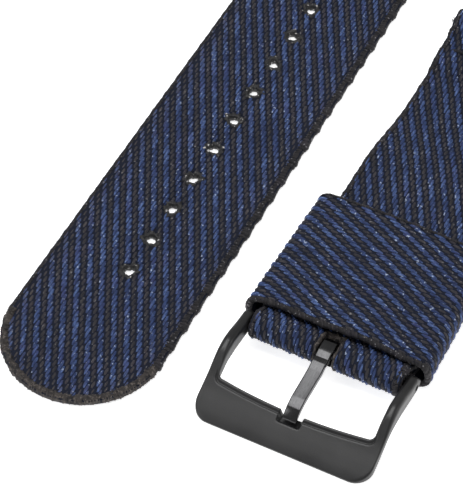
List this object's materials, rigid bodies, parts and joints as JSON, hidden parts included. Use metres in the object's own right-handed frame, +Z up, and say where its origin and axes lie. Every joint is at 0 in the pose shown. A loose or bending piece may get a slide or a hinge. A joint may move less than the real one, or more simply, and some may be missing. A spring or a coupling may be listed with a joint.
{
  "type": "fitness tracker band",
  "caption": "Two-piece woven nylon wrist band for a tracker: tail strap with punched holes, buckle strap with fabric keeper, black pin buckle and quick-release lug bars.",
  "frame": {"origin": "middle of the two straps' outline, on the surface they lie on", "axes": "+Z up from the table, -Y towards the tail's tip and the buckle, +X from the tail strap towards the buckle strap"},
  "size_m": [0.0552, 0.122, 0.0056],
  "materials": {
    "nylon": "blue and black ribbed twill webbing",
    "thread": "polyester thread",
    "bar_steel": "turned steel",
    "spring_steel": "spring wire",
    "black_coat": "matte black coating on steel",
    "tang_steel": "polished black-plated steel",
    "black_steel": "black-plated steel"
  },
  "bodies": {
    "buckle_strap": {"buckle_webbing": "nylon", "buckle_fold_seam": "thread", "lug_fold_seam": "thread", "lug_bar_tube": "bar_steel", "lug_bar_fixed_pin": "bar_steel", "lug_bar_spring": "spring_steel", "buckle_bar_tube": "black_steel", "buckle_bar_spring": "spring_steel"},
    "lug_release": {"lug_bar_sprung_pin": "bar_steel", "lug_bar_lever": "bar_steel"},
    "keeper_loop": {"keeper": "nylon", "keeper_seam": "thread"},
    "frame": {"buckle_frame": "black_coat"},
    "tang": {"buckle_tang": "tang_steel"},
    "buckle_pin_l": {"buckle_bar_pin_left": "black_steel"},
    "buckle_pin_r": {"buckle_bar_pin_right": "black_steel"},
    "tail_strap": {"tail_webbing": "nylon", "tail_seam": "thread", "tail_bar_tube": "bar_steel", "tail_bar_fixed_pin": "bar_steel", "tail_bar_spring": "spring_steel"},
    "tail_release": {"tail_bar_sprung_pin": "bar_steel", "tail_bar_lever": "bar_steel"}
  },
  "joints": [
    {"name": "frame_swing", "type": "hinge", "parent": "buckle_strap", "child": "frame", "pos_m": [0.014, -0.04, 0.0032], "axis": [-1, 0, 0], "range_deg": [-12, 45]},
    {"name": "tang_lift", "type": "hinge", "parent": "frame", "child": "tang", "pos_m": [0.014, -0.04, 0.0032], "axis": [-1, 0, 0], "range_deg": [0, 60]},
    {"name": "keeper_slide", "type": "slide", "parent": "buckle_strap", "child": "keeper_loop", "axis": [0.0698, 0.9976, 0], "range_m": [0, 0.014]},
    {"name": "buckle_pin_left_press", "type": "slide", "parent": "buckle_strap", "child": "buckle_pin_l", "axis": [1, 0, 0], "range_m": [0, 0.0014], "stiffness_N_per_m": 500, "springref_m": -0.001, "deforming": ["buckle_bar_spring"]},
    {"name": "buckle_pin_right_press", "type": "slide", "parent": "buckle_strap", "child": "buckle_pin_r", "axis": [-1, 0, 0], "range_m": [0, 0.0014], "stiffness_N_per_m": 500, "springref_m": -0.001, "deforming": ["buckle_bar_spring"]},
    {"name": "lug_lever_slide", "type": "slide", "parent": "buckle_strap", "child": "lug_release", "axis": [-1, 0, 0], "range_m": [0, 0.0012], "stiffness_N_per_m": 500, "springref_m": -0.001, "deforming": ["lug_bar_spring"]},
    {"name": "tail_lever_slide", "type": "slide", "parent": "tail_strap", "child": "tail_release", "axis": [-1, 0, 0], "range_m": [0, 0.0012], "stiffness_N_per_m": 500, "springref_m": -0.001, "deforming": ["tail_bar_spring"]},
    {"name": "tail_lift", "type": "slide", "parent": "buckle_strap", "child": "tail_strap", "axis": [0, 0, 1], "range_m": [0, 0.06]}
  ]
}
